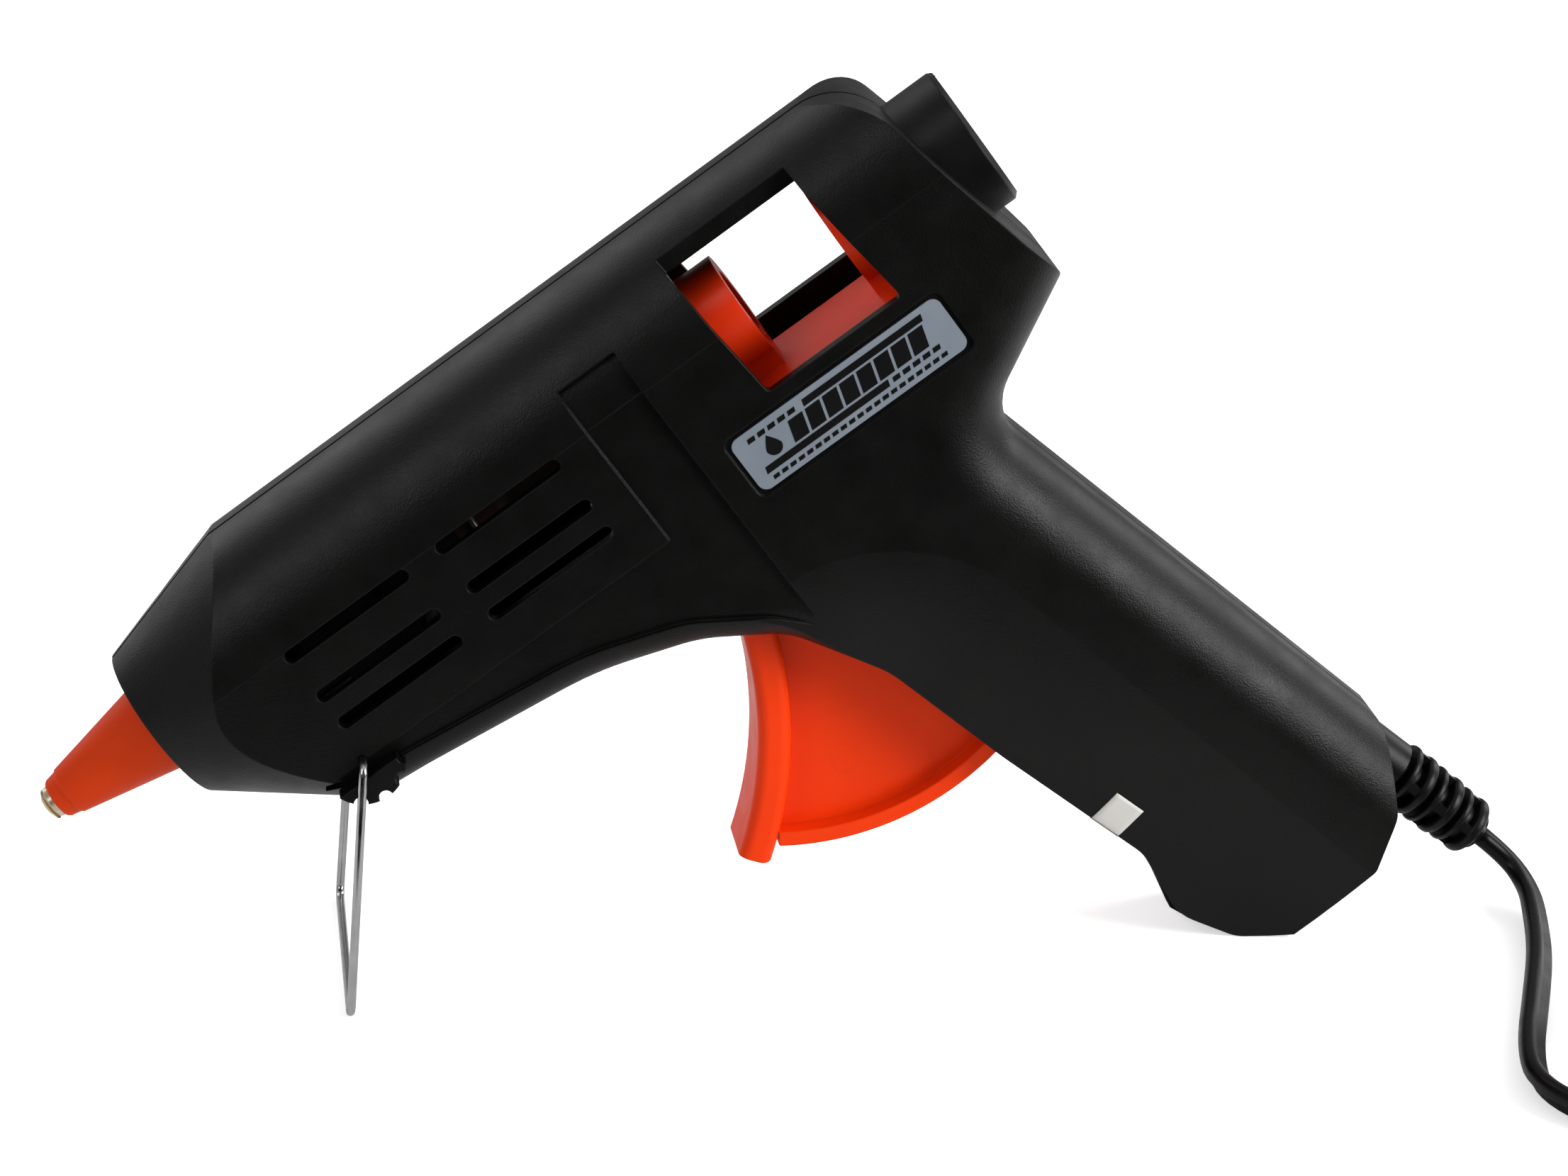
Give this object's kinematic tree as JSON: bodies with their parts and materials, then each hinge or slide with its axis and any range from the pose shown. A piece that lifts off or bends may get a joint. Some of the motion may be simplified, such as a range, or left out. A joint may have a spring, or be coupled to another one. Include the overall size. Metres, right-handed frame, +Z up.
{
  "type": "hot glue gun",
  "caption": "Small pistol-grip hot glue gun with a trigger feed, fold-down wire stand, soft nozzle sleeve and mains cord.",
  "frame": {"origin": "on the floor, under the middle of the tool's box without its free cord", "axes": "+X horizontal from the nozzle towards the grip and cord, +Y across to the right shell, +Z up"},
  "size_m": [0.3307, 0.1296, 0.1437],
  "materials": {
    "casing": "fine moulded satin",
    "collar": "satin",
    "trigger_orange": "soft gloss",
    "carriage_orange": "soft gloss",
    "sleeve_orange": "satin silicone",
    "nozzle_metal": "turned",
    "chamber_metal": "die cast",
    "heater": "ceramic",
    "film": "amber film",
    "spring_steel": "plain",
    "holder": "phenolic",
    "seal": "silicone",
    "wire_chrome": "bright plated",
    "label": "silver film",
    "wire_white": "sleeved",
    "sleeve_clear": "nylon",
    "black_rubber": "satin",
    "cord": "soft vinyl",
    "pin_nickel": "plated"
  },
  "bodies": {
    "housing": {"left_shell": "casing", "right_shell": "casing", "nozzle": "nozzle_metal", "nozzle_sleeve": "sleeve_orange", "melt_chamber": "chamber_metal", "heater_element": "heater", "heater_insulation": "film", "heater_clip": "spring_steel", "front_holder": "holder", "rear_holder": "holder", "stick_seal": "seal", "seal_clamp": "spring_steel", "stick_collar": "collar", "return_spring": "spring_steel", "trigger_pin": "spring_steel", "stand_cams": "casing", "strain_relief": "black_rubber", "cord_inner": "cord", "cord_clamp": "holder", "clamp_screws": "spring_steel", "case_screws": "spring_steel", "label": "label", "cord_cores": "wire_white", "crimp_sleeves": "sleeve_clear", "heater_leads": "wire_white", "cord_tube": "cord", "cord_coil": "cord", "cord_tail": "cord", "mains_plug": "black_rubber", "plug_pins": "pin_nickel"},
    "trigger": {"trigger": "trigger_orange"},
    "carriage": {"carriage": "carriage_orange", "gripper_pin": "spring_steel"},
    "gripper": {"stick_gripper": "carriage_orange"},
    "stand": {"stand_bail": "wire_chrome"}
  },
  "joints": [
    {"name": "trigger_pull", "type": "hinge", "parent": "housing", "child": "trigger", "pos_m": [-0.00011, 0, 0.06612], "axis": [0, -1, 0], "range_deg": [0, 32], "stiffness_Nm_per_rad": 0.25, "springref_deg": -11.46},
    {"name": "carriage_slide", "type": "slide", "parent": "housing", "child": "carriage", "axis": [-0.8161, 0, -0.5779], "range_m": [0, 0.0119], "deforming": ["return_spring"]},
    {"name": "gripper_tilt", "type": "hinge", "parent": "carriage", "child": "gripper", "pos_m": [-0.00897, 0, 0.09489], "axis": [0, -1, 0], "range_deg": [0, 10.1]},
    {"name": "stand_fold", "type": "hinge", "parent": "housing", "child": "stand", "pos_m": [-0.06851, 0, 0.04158], "axis": [0, -1, 0], "range_deg": [0, 110]}
  ],
  "couplings": [
    {"joint": "carriage_slide", "follows": "trigger_pull", "m_per_rad": 0.02122},
    {"joint": "gripper_tilt", "follows": "trigger_pull", "ratio": 0.3125}
  ]
}
